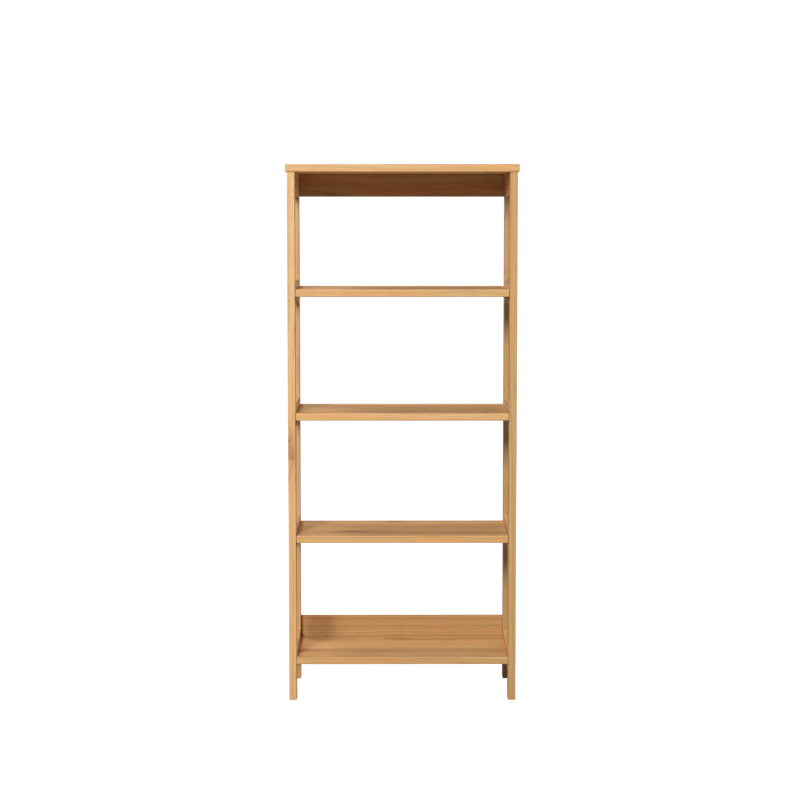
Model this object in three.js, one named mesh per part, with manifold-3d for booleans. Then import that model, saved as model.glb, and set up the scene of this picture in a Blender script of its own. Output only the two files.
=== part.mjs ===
// A tall, open bookcase in solid wood: two ladder frames, a fixed bottom shelf, two back rails,
// a top, and three shelves that rest on pins and can be moved up or down.
//
// Millimetres, +Z up. The origin is on the floor, under the middle of the bookcase.
// The open front faces -Y. side is -1 on the left and +1 on the right; end is -1 at the front
// and +1 at the back.

import * as THREE from 'three';
import { mergeVertices } from 'three/addons/utils/BufferGeometryUtils.js';
import Module from 'manifold-3d';

// ---------------------------------------------------------------- driving dimensions

const OVERALL_HEIGHT = 1625;
const FRAME_WIDTH = 690; // over the outer faces of the posts
const FRAME_DEPTH = 340; // front face to back face of the posts
const TOP_OVERHANG = 5; // at the front and both ends; the back is flush
const BOARD = 23; // thickness of the posts, the shelves and the top
const POST_DEPTH = 45;
const SHELF_PITCH = 373; // from the top of one shelf to the top of the next
const SHELF_SETBACK = 1.5; // shelf edge behind the front face of the posts
const SHELF_END_CLEARANCE = 1; // at each end of a shelf that moves

const SIDE_RAIL_HEIGHT = 70;
const SIDE_RAIL_THICKNESS = 20;
const UPPER_BACK_RAIL_HEIGHT = 70;
const LOWER_BACK_RAIL_HEIGHT = 88;
const BACK_RAIL_THICKNESS = 20;

const TENON_LENGTH = 18;
const TENON_THICKNESS = 7;
const TENON_HEIGHT = 50;
const TENON_FROM_OUTER_FACE = 8; // tenon's mid-plane, from the outer face of the post

const JOINT_GAP = 0.3; // between pieces that meet
const ARRIS = 2; // radius of the long edges
const END_ARRIS = 1.2; // bevel across the ends
const ROUND_SIDES = 12; // flat sides that stand for a round piece or hole

const PIN_RADIUS = 2.5;
const PIN_SIDES = 10; // flat sides that stand for the round stem and its hole
const PIN_HOLE_DEPTH = 8;
const PIN_HOLE_PITCH = 32;
const PIN_HOLE_STEPS = [-2, -1, 0, 1, 2]; // holes below, at and above each shelf's place
const FRONT_PIN_INSET = 20; // from the front face of the posts
const REAR_PIN_INSET = 32; // from the back face of the posts
const PIN_STEM_IN_POST = 7.7;
const PIN_PADDLE_THICKNESS = 2;
const PIN_PADDLE_RADIUS = 5;
const PIN_PADDLE_REACH = 11.5;
const PIN_COLLAR_RADIUS = 4.5;
const PIN_COLLAR_THICKNESS = 1;

const SCREW_LENGTH = 50;
const SCREW_HEAD_RADIUS = 5;
const SCREW_HEAD_THICKNESS = 3;
const SCREW_SHANK_RADIUS = 3.5;
const SCREW_THREAD_RADIUS = 3;
const SCREW_SOCKET_RADIUS = 2.3;
const SCREW_SOCKET_DEPTH = 2.2;
const BOTTOM_SCREW_FROM_MIDDLE = 95; // along the side rail, each way

const DOWEL_RADIUS = 4;
const DOWEL_IN_POST = 12;
const DOWEL_IN_RAIL = 18;
const UPPER_FIXING_OFFSET = 17; // screw above and dowel below the back rail's mid-height
const LOWER_FIXING_OFFSET = 22;

const CAM_RADIUS = 7.2;
const CAM_SIDES = 16;
const CAM_THICKNESS = 14.2;
const CAM_BELOW_TOP = 34; // cam's centre below the underside of the top
const CAM_CAP = 6; // solid face of the cam, before its slot
const CAM_SLOT_WIDTH = 8;
const CAM_FROM_MIDDLE = 80; // along the top side rail, each way
const CAM_BOLT_SHANK_RADIUS = 3.2;
const CAM_BOLT_NECK_RADIUS = 2;
const CAM_BOLT_HEAD_RADIUS = 3.4;
const CAM_BOLT_IN_TOP = 11;

// ---------------------------------------------------------------- places worked out from them

const FRONT_Y = -(FRAME_DEPTH + TOP_OVERHANG) / 2 + TOP_OVERHANG;
const BACK_Y = FRONT_Y + FRAME_DEPTH;
const OUTER_X = FRAME_WIDTH / 2;
const INNER_X = OUTER_X - BOARD;
const FRAME_TOP = OVERALL_HEIGHT - BOARD - JOINT_GAP;
const FRONT_POST_Y = FRONT_Y + POST_DEPTH / 2;
const REAR_POST_Y = BACK_Y - POST_DEPTH / 2;
const SIDE_RAIL_Y = (FRONT_POST_Y + REAR_POST_Y) / 2;
const SIDE_RAIL_LENGTH = FRAME_DEPTH - 2 * POST_DEPTH - 2 * JOINT_GAP;
const SIDE_RAIL_X = INNER_X + SIDE_RAIL_THICKNESS / 2;
const TENON_X = OUTER_X - TENON_FROM_OUTER_FACE;
const BACK_RAIL_Y = BACK_Y - BACK_RAIL_THICKNESS / 2;
const SHELF_FRONT_Y = FRONT_Y + SHELF_SETBACK;
const SHELF_BACK_Y = BACK_Y - BACK_RAIL_THICKNESS - JOINT_GAP;

// Tops of the shelves, from the bottom shelf up.
const shelfTop = (level) => OVERALL_HEIGHT - (4 - level) * SHELF_PITCH;
const shelfMiddle = (level) => shelfTop(level) - BOARD / 2;
const BOTTOM_SHELF_UNDERSIDE = shelfTop(0) - BOARD;

const ADJUSTABLE_SHELVES = [
  { name: 'lower', level: 1 },
  { name: 'middle', level: 2 },
  { name: 'upper', level: 3 },
];
const SIDE_RAILS = [
  { name: 'bottom', z: shelfMiddle(0) },
  { name: 'lower', z: shelfMiddle(1) },
  { name: 'middle', z: shelfMiddle(2) },
  { name: 'upper', z: shelfMiddle(3) },
  { name: 'top', z: FRAME_TOP - SIDE_RAIL_HEIGHT / 2 },
];
const BACK_RAILS = [
  {
    name: 'upper',
    height: UPPER_BACK_RAIL_HEIGHT,
    z: FRAME_TOP - UPPER_BACK_RAIL_HEIGHT / 2,
    fixingOffset: UPPER_FIXING_OFFSET,
  },
  {
    name: 'lower',
    height: LOWER_BACK_RAIL_HEIGHT,
    z: BOTTOM_SHELF_UNDERSIDE + LOWER_BACK_RAIL_HEIGHT / 2,
    fixingOffset: LOWER_FIXING_OFFSET,
  },
];
const SIDES = [
  { name: 'left', side: -1 },
  { name: 'right', side: 1 },
];
const ENDS = [
  { name: 'front', end: -1, postY: FRONT_POST_Y, pinY: FRONT_Y + FRONT_PIN_INSET },
  { name: 'rear', end: 1, postY: REAR_POST_Y, pinY: BACK_Y - REAR_PIN_INSET },
];
const pinAxisZ = (level) => shelfTop(level) - BOARD - JOINT_GAP - PIN_RADIUS;

// ---------------------------------------------------------------- materials

const wood = (color) => new THREE.MeshStandardMaterial({ color, roughness: 0.55, metalness: 0 });
const metal = (color, roughness) => new THREE.MeshStandardMaterial({ color, roughness, metalness: 1 });

const MATERIALS = {
  post: wood(0xd9b078),
  rail: wood(0xc99c66),
  backRail: wood(0xb98a58),
  shelf: wood(0xd2a670),
  top: wood(0xe2bb82),
  dowel: wood(0xcfae7f),
  pin: metal(0x6b543a, 0.42),
  screw: metal(0xa9abad, 0.4),
  cam: metal(0x9a9c9f, 0.5),
};

// ---------------------------------------------------------------- solids

const wasm = await Module();
wasm.setup();

function solidFrom(geometry) {
  geometry.deleteAttribute('normal');
  geometry.deleteAttribute('uv');
  const merged = mergeVertices(geometry, 1e-4);
  return new wasm.Manifold(new wasm.Mesh({
    numProp: 3,
    vertProperties: new Float32Array(merged.attributes.position.array),
    triVerts: new Uint32Array(merged.index.array),
  }));
}

function geometryFrom(solid) {
  const mesh = solid.getMesh();
  const geometry = new THREE.BufferGeometry();
  const positions = new THREE.BufferAttribute(Float32Array.from(mesh.vertProperties), mesh.numProp);
  geometry.setAttribute('position', positions);
  geometry.setIndex(new THREE.BufferAttribute(Uint32Array.from(mesh.triVerts), 1));
  return geometry;
}

function box(size, centre) {
  const geometry = new THREE.BoxGeometry(...size);
  geometry.translate(...centre);
  return solidFrom(geometry);
}

// A round rod between two points that differ along one axis only.
function rod(radius, from, to, segments = ROUND_SIDES) {
  const start = new THREE.Vector3(...from);
  const along = new THREE.Vector3(...to).sub(start);
  const geometry = new THREE.CylinderGeometry(radius, radius, along.length(), segments);
  geometry.translate(0, along.length() / 2, 0);
  const up = new THREE.Vector3(0, 1, 0);
  geometry.applyQuaternion(new THREE.Quaternion().setFromUnitVectors(up, along.normalize()));
  geometry.translate(...from);
  return solidFrom(geometry);
}

function cutAway(solid, tools) {
  return tools.reduce((left, tool) => left.subtract(tool), solid);
}

function joined(solid, additions) {
  return additions.reduce((whole, addition) => whole.add(addition), solid);
}

function roundedRectangle(width, height, radius) {
  const x = width / 2 - radius;
  const y = height / 2 - radius;
  const shape = new THREE.Shape();
  shape.absarc(x, y, radius, 0, Math.PI / 2);
  shape.absarc(-x, y, radius, Math.PI / 2, Math.PI);
  shape.absarc(-x, -y, radius, Math.PI, 1.5 * Math.PI);
  shape.absarc(x, -y, radius, 1.5 * Math.PI, 2 * Math.PI);
  shape.closePath();
  return shape;
}

// A planed board with softened edges. Its section is extruded along the grain: 'x', 'y' or 'z'.
function board(size, centre, grain) {
  const [sizeX, sizeY, sizeZ] = size;
  const section = { x: [sizeZ, sizeY], y: [sizeX, sizeZ], z: [sizeX, sizeY] }[grain];
  const length = { x: sizeX, y: sizeY, z: sizeZ }[grain];
  const geometry = new THREE.ExtrudeGeometry(roundedRectangle(...section, ARRIS), {
    depth: length - 2 * END_ARRIS,
    curveSegments: 2,
    bevelSegments: 1,
    bevelThickness: END_ARRIS,
    bevelSize: END_ARRIS,
    bevelOffset: -END_ARRIS,
  });
  geometry.translate(0, 0, -length / 2 + END_ARRIS);
  if (grain === 'x') {
    geometry.rotateY(Math.PI / 2);
  }
  if (grain === 'y') {
    geometry.rotateX(-Math.PI / 2);
  }
  geometry.translate(...centre);
  return solidFrom(geometry);
}

// ---------------------------------------------------------------- holes shared by two pieces

// A clearance hole for a screw driven inwards from the face at x = faceX.
function screwHole(side, faceX, y, z) {
  const at = (depth) => [side * (faceX - depth), y, z];
  const outside = -1;
  return joined(
    rod(SCREW_SHANK_RADIUS + JOINT_GAP, at(outside), at(SCREW_LENGTH + JOINT_GAP)),
    [rod(SCREW_HEAD_RADIUS + JOINT_GAP, at(outside), at(SCREW_HEAD_THICKNESS + JOINT_GAP))],
  );
}

// A hole for a dowel across the meeting of a rear post and a back rail.
function dowelHole(side, z) {
  const inPost = [side * (INNER_X + DOWEL_IN_POST + JOINT_GAP), BACK_RAIL_Y, z];
  const inRail = [side * (INNER_X - DOWEL_IN_RAIL - JOINT_GAP), BACK_RAIL_Y, z];
  return rod(DOWEL_RADIUS + JOINT_GAP, inPost, inRail);
}

function backRailHoles(side) {
  return BACK_RAILS.flatMap((rail) => [
    screwHole(side, OUTER_X, BACK_RAIL_Y, rail.z + rail.fixingOffset),
    dowelHole(side, rail.z - rail.fixingOffset),
  ]);
}

function bottomShelfScrewHoles(side) {
  return [-1, 1].map((way) => screwHole(
    side,
    INNER_X + SIDE_RAIL_THICKNESS,
    SIDE_RAIL_Y + way * BOTTOM_SCREW_FROM_MIDDLE,
    shelfMiddle(0),
  ));
}

function camBoltHole(side, way) {
  const y = SIDE_RAIL_Y + way * CAM_FROM_MIDDLE;
  const bottom = [side * SIDE_RAIL_X, y, FRAME_TOP - CAM_BELOW_TOP];
  const top = [side * SIDE_RAIL_X, y, FRAME_TOP + CAM_BOLT_IN_TOP + 3 * JOINT_GAP];
  return rod(CAM_BOLT_SHANK_RADIUS + JOINT_GAP, bottom, top);
}

function camHole(side, way) {
  const y = SIDE_RAIL_Y + way * CAM_FROM_MIDDLE;
  const z = FRAME_TOP - CAM_BELOW_TOP;
  const outside = 1;
  return rod(
    CAM_RADIUS + JOINT_GAP,
    [side * (INNER_X - outside), y, z],
    [side * (INNER_X + CAM_THICKNESS + 2 * JOINT_GAP), y, z],
    CAM_SIDES,
  );
}

// ---------------------------------------------------------------- wooden pieces

function post(side, { end, postY, pinY }) {
  const size = [BOARD, POST_DEPTH, FRAME_TOP];
  const body = board(size, [side * (OUTER_X - BOARD / 2), postY, FRAME_TOP / 2], 'z');

  const mortiseDepth = TENON_LENGTH + JOINT_GAP;
  const mouthY = postY - end * POST_DEPTH / 2;
  const outside = 1;
  const mortises = SIDE_RAILS.map((rail) => box(
    [TENON_THICKNESS + 2 * JOINT_GAP, mortiseDepth + outside, TENON_HEIGHT + 2 * JOINT_GAP],
    [side * TENON_X, mouthY + end * (mortiseDepth - outside) / 2, rail.z],
  ));

  const pinHoles = ADJUSTABLE_SHELVES.flatMap(({ level }) => PIN_HOLE_STEPS.map((step) => {
    const z = pinAxisZ(level) + step * PIN_HOLE_PITCH;
    return rod(
      PIN_RADIUS + JOINT_GAP,
      [side * (INNER_X - outside), pinY, z],
      [side * (INNER_X + PIN_HOLE_DEPTH), pinY, z],
      PIN_SIDES,
    );
  }));

  const backHoles = end > 0 ? backRailHoles(side) : [];
  return cutAway(body, [...mortises, ...pinHoles, ...backHoles]);
}

function sideRail(side, rail) {
  const size = [SIDE_RAIL_THICKNESS, SIDE_RAIL_LENGTH, SIDE_RAIL_HEIGHT];
  const body = board(size, [side * SIDE_RAIL_X, SIDE_RAIL_Y, rail.z], 'y');

  const buried = 5;
  const tenons = [-1, 1].map((way) => box(
    [TENON_THICKNESS, TENON_LENGTH + buried, TENON_HEIGHT],
    [
      side * TENON_X,
      SIDE_RAIL_Y + way * (SIDE_RAIL_LENGTH + TENON_LENGTH - buried) / 2,
      rail.z,
    ],
  ));

  const holes = [];
  if (rail.name === 'bottom') {
    holes.push(...bottomShelfScrewHoles(side));
  }
  if (rail.name === 'top') {
    holes.push(camBoltHole(side, -1), camBoltHole(side, 1));
    holes.push(camHole(side, -1), camHole(side, 1));
  }
  return cutAway(joined(body, tenons), holes);
}

function backRail(rail) {
  const size = [2 * (INNER_X - JOINT_GAP), BACK_RAIL_THICKNESS, rail.height];
  const body = board(size, [0, BACK_RAIL_Y, rail.z], 'x');
  return cutAway(body, [...backRailHoles(-1), ...backRailHoles(1)]);
}

function shelf(level, endClearance) {
  const depth = SHELF_BACK_Y - SHELF_FRONT_Y;
  const size = [2 * (INNER_X - endClearance), depth, BOARD];
  return board(size, [0, SHELF_FRONT_Y + depth / 2, shelfMiddle(level)], 'x');
}

function bottomShelf() {
  const holes = [...bottomShelfScrewHoles(-1), ...bottomShelfScrewHoles(1)];
  return cutAway(shelf(0, JOINT_GAP), holes);
}

function topPanel() {
  const size = [FRAME_WIDTH + 2 * TOP_OVERHANG, FRAME_DEPTH + TOP_OVERHANG, BOARD];
  const body = board(size, [0, 0, OVERALL_HEIGHT - BOARD / 2], 'x');
  const holes = [-1, 1].flatMap((side) => [camBoltHole(side, -1), camBoltHole(side, 1)]);
  return cutAway(body, holes);
}

// ---------------------------------------------------------------- hardware, in local frames

// A shelf pin for the left-hand posts. Its origin is where its axis meets the post's face:
// the stem goes into the post along -X, and the paddle that holds the shelf reaches along +X.
function shelfPin() {
  const stem = rod(PIN_RADIUS, [-PIN_STEM_IN_POST, 0, 0], [PIN_PADDLE_REACH - 3, 0, 0], PIN_SIDES);
  const collar = rod(
    PIN_COLLAR_RADIUS,
    [JOINT_GAP, 0, 0],
    [JOINT_GAP + PIN_COLLAR_THICKNESS, 0, 0],
  );
  const outline = new THREE.Shape();
  const roundCentre = PIN_PADDLE_REACH - PIN_PADDLE_RADIUS;
  outline.moveTo(JOINT_GAP, -PIN_PADDLE_RADIUS);
  outline.absarc(roundCentre, 0, PIN_PADDLE_RADIUS, -Math.PI / 2, Math.PI / 2);
  outline.lineTo(JOINT_GAP, PIN_PADDLE_RADIUS);
  outline.closePath();
  const paddleGeometry = new THREE.ExtrudeGeometry(outline, {
    depth: PIN_PADDLE_THICKNESS,
    curveSegments: 6,
    bevelEnabled: false,
  });
  paddleGeometry.translate(0, 0, PIN_RADIUS - PIN_PADDLE_THICKNESS);
  const aboveShelfUnderside = box([40, 20, 10], [0, 0, PIN_RADIUS + 5]);
  return joined(stem, [collar, solidFrom(paddleGeometry)]).subtract(aboveShelfUnderside);
}

// A flat-headed furniture screw with a hexagon socket. Its head's face is at the origin and it
// points along -Z. The thread is a plain cylinder at its outer radius.
function furnitureScrew() {
  const profile = [
    [0, -SCREW_LENGTH],
    [1.2, -SCREW_LENGTH + 0.4],
    [SCREW_THREAD_RADIUS, -SCREW_LENGTH + 4],
    [SCREW_THREAD_RADIUS, -25],
    [SCREW_SHANK_RADIUS, -24.5],
    [SCREW_SHANK_RADIUS, -SCREW_HEAD_THICKNESS],
    [SCREW_HEAD_RADIUS, -SCREW_HEAD_THICKNESS + 1],
    [SCREW_HEAD_RADIUS, -0.4],
    [SCREW_HEAD_RADIUS - 0.4, 0],
    [0, 0],
  ].map(([radius, z]) => new THREE.Vector2(radius, z));
  const lathe = new THREE.LatheGeometry(profile, ROUND_SIDES);
  lathe.rotateX(Math.PI / 2);
  const socket = rod(SCREW_SOCKET_RADIUS, [0, 0, -SCREW_SOCKET_DEPTH], [0, 0, 1], 6);
  return solidFrom(lathe).subtract(socket);
}

function dowel() {
  const half = (DOWEL_IN_POST + DOWEL_IN_RAIL) / 2;
  const chamfer = 1;
  const profile = [
    [0, -half],
    [DOWEL_RADIUS - chamfer, -half],
    [DOWEL_RADIUS, -half + chamfer],
    [DOWEL_RADIUS, half - chamfer],
    [DOWEL_RADIUS - chamfer, half],
    [0, half],
  ].map(([radius, z]) => new THREE.Vector2(radius, z));
  const lathe = new THREE.LatheGeometry(profile, ROUND_SIDES);
  lathe.rotateX(Math.PI / 2);
  return solidFrom(lathe);
}

// The bolt that screws up into the top. Its origin is at the centre of its head, and it points
// along +Z.
function camBolt() {
  const topOfShank = CAM_BELOW_TOP + CAM_BOLT_IN_TOP;
  const headHalf = 1.5;
  const profile = [
    [0, -headHalf],
    [CAM_BOLT_HEAD_RADIUS - 0.6, -headHalf],
    [CAM_BOLT_HEAD_RADIUS, -headHalf + 0.6],
    [CAM_BOLT_HEAD_RADIUS, headHalf - 0.6],
    [CAM_BOLT_HEAD_RADIUS - 0.6, headHalf],
    [CAM_BOLT_NECK_RADIUS, headHalf],
    [CAM_BOLT_NECK_RADIUS, CAM_RADIUS + 1],
    [CAM_BOLT_SHANK_RADIUS, CAM_RADIUS + 2],
    [CAM_BOLT_SHANK_RADIUS, topOfShank - 1],
    [CAM_BOLT_SHANK_RADIUS - 1, topOfShank],
    [0, topOfShank],
  ].map(([radius, z]) => new THREE.Vector2(radius, z));
  const lathe = new THREE.LatheGeometry(profile, ROUND_SIDES);
  lathe.rotateX(Math.PI / 2);
  return solidFrom(lathe);
}

// The cam for the left-hand rail. Its face is at the origin and it goes into the rail along -X.
// The slot behind the face takes the bolt's head, which comes in from above.
function cam() {
  const disc = rod(CAM_RADIUS, [-CAM_THICKNESS, 0, 0], [0, 0, 0], CAM_SIDES);
  const slotDepth = CAM_THICKNESS - CAM_CAP + 1;
  const slotX = -CAM_CAP - slotDepth / 2;
  const below = CAM_SLOT_WIDTH / 2;
  const above = CAM_RADIUS + 1;
  const slot = box([slotDepth, CAM_SLOT_WIDTH, below + above], [slotX, 0, (above - below) / 2]);
  const recessDepth = 2.5;
  const recess = [[1.6, 8], [8, 1.6]].map(([sizeY, sizeZ]) => (
    box([recessDepth + 1, sizeY, sizeZ], [(1 - recessDepth) / 2, 0, 0])
  ));
  return cutAway(disc, [slot, ...recess]);
}

// ---------------------------------------------------------------- the assembly

const bookcase = new THREE.Group();
bookcase.name = 'bookcase';

// Adds a piece made in the bookcase's frame, as a mesh whose own origin is the piece's middle.
function addPiece(name, solid, material) {
  const geometry = geometryFrom(solid);
  geometry.computeBoundingBox();
  const middle = geometry.boundingBox.getCenter(new THREE.Vector3());
  geometry.translate(-middle.x, -middle.y, -middle.z);
  geometry.computeVertexNormals();
  const mesh = new THREE.Mesh(geometry, material);
  mesh.name = name;
  mesh.position.copy(middle);
  bookcase.add(mesh);
}

// Adds one copy of a piece of hardware, turned and then moved to its place.
function addHardware(name, solid, material, position, rotation) {
  const geometry = geometryFrom(solid);
  geometry.computeVertexNormals();
  const mesh = new THREE.Mesh(geometry, material);
  mesh.name = name;
  mesh.position.set(...position);
  mesh.rotation.set(...rotation);
  bookcase.add(mesh);
}

for (const { name: sideName, side } of SIDES) {
  for (const end of ENDS) {
    addPiece(`${sideName}_${end.name}_post`, post(side, end), MATERIALS.post);
  }
  for (const rail of SIDE_RAILS) {
    addPiece(`${sideName}_${rail.name}_side_rail`, sideRail(side, rail), MATERIALS.rail);
  }
}
for (const rail of BACK_RAILS) {
  addPiece(`${rail.name}_back_rail`, backRail(rail), MATERIALS.backRail);
}
addPiece('bottom_shelf', bottomShelf(), MATERIALS.shelf);
for (const { name, level } of ADJUSTABLE_SHELVES) {
  addPiece(`${name}_shelf`, shelf(level, SHELF_END_CLEARANCE), MATERIALS.shelf);
}
addPiece('top_panel', topPanel(), MATERIALS.top);

const pinSolid = shelfPin();
const screwSolid = furnitureScrew();
const dowelSolid = dowel();
const camBoltSolid = camBolt();
const camSolid = cam();

for (const { name: sideName, side } of SIDES) {
  const faceInwards = [0, 0, side < 0 ? 0 : Math.PI];
  const pointInwards = [0, side < 0 ? -Math.PI / 2 : Math.PI / 2, 0];

  for (const shelfRow of ADJUSTABLE_SHELVES) {
    for (const end of ENDS) {
      addHardware(
        `${shelfRow.name}_shelf_pin_${sideName}_${end.name}`,
        pinSolid,
        MATERIALS.pin,
        [side * INNER_X, end.pinY, pinAxisZ(shelfRow.level)],
        faceInwards,
      );
    }
  }

  for (const end of ENDS) {
    addHardware(
      `bottom_shelf_screw_${sideName}_${end.name}`,
      screwSolid,
      MATERIALS.screw,
      [
        side * (INNER_X + SIDE_RAIL_THICKNESS),
        SIDE_RAIL_Y + end.end * BOTTOM_SCREW_FROM_MIDDLE,
        shelfMiddle(0),
      ],
      pointInwards,
    );
  }

  for (const rail of BACK_RAILS) {
    addHardware(
      `${rail.name}_back_rail_screw_${sideName}`,
      screwSolid,
      MATERIALS.screw,
      [side * OUTER_X, BACK_RAIL_Y, rail.z + rail.fixingOffset],
      pointInwards,
    );
    addHardware(
      `${rail.name}_back_rail_dowel_${sideName}`,
      dowelSolid,
      MATERIALS.dowel,
      [
        side * (INNER_X + (DOWEL_IN_POST - DOWEL_IN_RAIL) / 2),
        BACK_RAIL_Y,
        rail.z - rail.fixingOffset,
      ],
      pointInwards,
    );
  }

  for (const end of ENDS) {
    const y = SIDE_RAIL_Y + end.end * CAM_FROM_MIDDLE;
    const camZ = FRAME_TOP - CAM_BELOW_TOP;
    addHardware(
      `top_cam_${sideName}_${end.name}`,
      camSolid,
      MATERIALS.cam,
      [side * INNER_X, y, camZ],
      faceInwards,
    );
    addHardware(
      `top_cam_bolt_${sideName}_${end.name}`,
      camBoltSolid,
      MATERIALS.screw,
      [side * SIDE_RAIL_X, y, camZ],
      [0, 0, 0],
    );
  }
}

export default bookcase;
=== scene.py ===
"""A tall open bookcase in clear-lacquered oak: ladder sides, five boards, two back rails.

Metres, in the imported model's own frame: +Z up, the open front faces -Y. Every wooden piece is
rebuilt with fine rounded arrises, its real joints and holes, and a solid procedural oak. The
metal pieces are rebuilt with real threads, sockets and recesses.
"""

import math
import random

import bmesh
import bpy
from mathutils import Matrix, Vector


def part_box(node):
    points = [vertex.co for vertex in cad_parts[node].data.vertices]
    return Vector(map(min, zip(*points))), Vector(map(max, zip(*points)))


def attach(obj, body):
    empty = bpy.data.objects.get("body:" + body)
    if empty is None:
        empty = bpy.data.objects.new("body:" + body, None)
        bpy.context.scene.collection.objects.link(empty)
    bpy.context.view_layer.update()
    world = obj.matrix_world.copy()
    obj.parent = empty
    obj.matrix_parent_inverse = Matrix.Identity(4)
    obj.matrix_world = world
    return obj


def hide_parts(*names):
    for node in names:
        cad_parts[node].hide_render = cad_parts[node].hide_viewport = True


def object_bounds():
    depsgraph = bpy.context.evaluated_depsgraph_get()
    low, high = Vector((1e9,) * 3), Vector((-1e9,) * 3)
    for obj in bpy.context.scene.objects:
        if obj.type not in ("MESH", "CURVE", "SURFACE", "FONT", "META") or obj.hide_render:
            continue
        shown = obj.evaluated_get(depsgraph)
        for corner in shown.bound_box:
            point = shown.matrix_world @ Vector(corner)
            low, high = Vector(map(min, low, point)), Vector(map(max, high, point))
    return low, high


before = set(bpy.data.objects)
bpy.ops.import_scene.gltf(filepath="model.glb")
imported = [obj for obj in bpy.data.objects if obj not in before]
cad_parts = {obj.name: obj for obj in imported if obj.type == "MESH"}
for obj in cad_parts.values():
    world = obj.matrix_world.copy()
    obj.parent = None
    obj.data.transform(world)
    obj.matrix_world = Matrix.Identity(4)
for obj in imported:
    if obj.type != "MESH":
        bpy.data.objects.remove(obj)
cad_low, cad_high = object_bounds()

MM = 0.001

SIDES = (("left", -1), ("right", 1))
ENDS = (("front", -1), ("rear", 1))
MOVING_SHELVES = ("lower", "middle", "upper")
SIDE_RAILS = ("bottom", "lower", "middle", "upper", "top")
BACK_RAILS = ("upper", "lower")
FRAME_BODY = "frame"

# ------------------------ camera, floor and light

CAMERA_DISTANCE = 6.15
CAMERA_X = -0.0363
CAMERA_Z = 1.4653
CAMERA_TILT = math.radians(5.076)
CAMERA_YAW = math.radians(0.271)
CAMERA_LENS = 92.25
SENSOR_WIDTH = 36.0
CLIP_END = 100.0


def make_camera():
    front_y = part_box("left_front_post")[0].y
    data = bpy.data.cameras.new("camera")
    data.lens = CAMERA_LENS
    data.sensor_width = SENSOR_WIDTH
    data.clip_end = CLIP_END
    camera = bpy.data.objects.new("camera", data)
    camera.location = (CAMERA_X, front_y - CAMERA_DISTANCE, CAMERA_Z)
    camera.rotation_euler = (math.pi / 2 - CAMERA_TILT, 0.0, -CAMERA_YAW)
    bpy.context.scene.collection.objects.link(camera)
    bpy.context.scene.camera = camera


def area_light(name, location, target, size, power, colour):
    data = bpy.data.lights.new(name, "AREA")
    data.shape = "RECTANGLE"
    data.size, data.size_y = size
    data.energy = power
    data.color = colour
    light = bpy.data.objects.new(name, data)
    light.location = location
    aim = Vector(target) - Vector(location)
    light.rotation_euler = aim.to_track_quat("-Z", "Y").to_euler()
    bpy.context.scene.collection.objects.link(light)


# The Mix node's sockets that hold its factor and its colours.
MIX_FACTOR = 0
MIX_FIRST = 6
MIX_SECOND = 7
MIX_RESULT = 2


class Graph:
    """Adds shader nodes, and links or sets whatever is passed for each input."""

    def __init__(self, tree):
        self.tree = tree
        tree.nodes.clear()

    def add(self, kind, inputs=None, **settings):
        node = self.tree.nodes.new(kind)
        for key, value in settings.items():
            setattr(node, key, value)
        for socket, value in (inputs or {}).items():
            if isinstance(value, bpy.types.NodeSocket):
                self.tree.links.new(value, node.inputs[socket])
            else:
                node.inputs[socket].default_value = value
        return node

    def math(self, operation, *values, clamp=False):
        node = self.add("ShaderNodeMath", dict(enumerate(values)), operation=operation)
        node.use_clamp = clamp
        return node.outputs[0]

    def cell(self, place, size):
        """A point for a noise whose grains have this size. place has three sockets."""
        parts = [self.math("DIVIDE", value, length) for value, length in zip(place, size)]
        return self.add("ShaderNodeCombineXYZ", dict(enumerate(parts))).outputs[0]

    def noise(self, vector, detail=2.0, roughness=0.5, scale=1.0):
        node = self.add("ShaderNodeTexNoise", {
            "Vector": vector,
            "Scale": scale,
            "Detail": detail,
            "Roughness": roughness,
        })
        return node.outputs["Fac"]

    def noise_1d(self, value, length):
        """A smooth noise along a line, with swings about this long."""
        node = self.add("ShaderNodeTexNoise", {"Scale": 1 / length, "Detail": 1.0},
                        noise_dimensions="1D")
        self.tree.links.new(value, node.inputs["W"])
        return node.outputs["Fac"]

    def swing(self, noise, size):
        """A noise from 0 to 1, moved to swing about zero and scaled."""
        return self.math("MULTIPLY", self.math("SUBTRACT", noise, 0.5), size)

    def ramp(self, factor, stops):
        """A colour or grey that runs between stops of (position, colour or grey)."""
        node = self.add("ShaderNodeValToRGB", {0: factor})
        elements = node.color_ramp.elements
        while len(elements) < len(stops):
            elements.new(0.5)
        for element, (position, colour) in zip(elements, stops):
            element.position = position
            if not hasattr(colour, "__len__"):
                colour = (colour, colour, colour)
            element.color = (*colour, 1.0)
        return node.outputs["Color"]

    def blend(self, kind, factor, first, second):
        """Mixes two colours. Each may be a socket or a plain colour."""
        node = self.add("ShaderNodeMix", data_type="RGBA", blend_type=kind)
        for socket, value in ((MIX_FACTOR, factor), (MIX_FIRST, first), (MIX_SECOND, second)):
            if isinstance(value, bpy.types.NodeSocket):
                self.tree.links.new(value, node.inputs[socket])
            elif socket == MIX_FACTOR:
                node.inputs[socket].default_value = value
            else:
                node.inputs[socket].default_value = (*value, 1.0)
        return node.outputs[MIX_RESULT]


WHITE = (1.0, 1.0, 1.0, 1.0)
BLACK = (0.0, 0.0, 0.0, 1.0)
DOME_COLOUR = (1.0, 0.99, 0.975, 1.0)
DOME_STRENGTH = 0.075
BACKGROUND_STRENGTH = 1.05  # seen by the camera only
FLOOR_HALF_WIDTH = 60.0
FLOOR_ALBEDO = 0.38
FLOOR_GLOW_NEAR = 0.9  # seen by the camera only, so that shadows on the floor stay faint
FLOOR_GLOW_FAR = 1.0
GLOW_RISES_FROM = 1.0  # m from the middle of the object
GLOW_RISES_TO = 3.5


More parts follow.
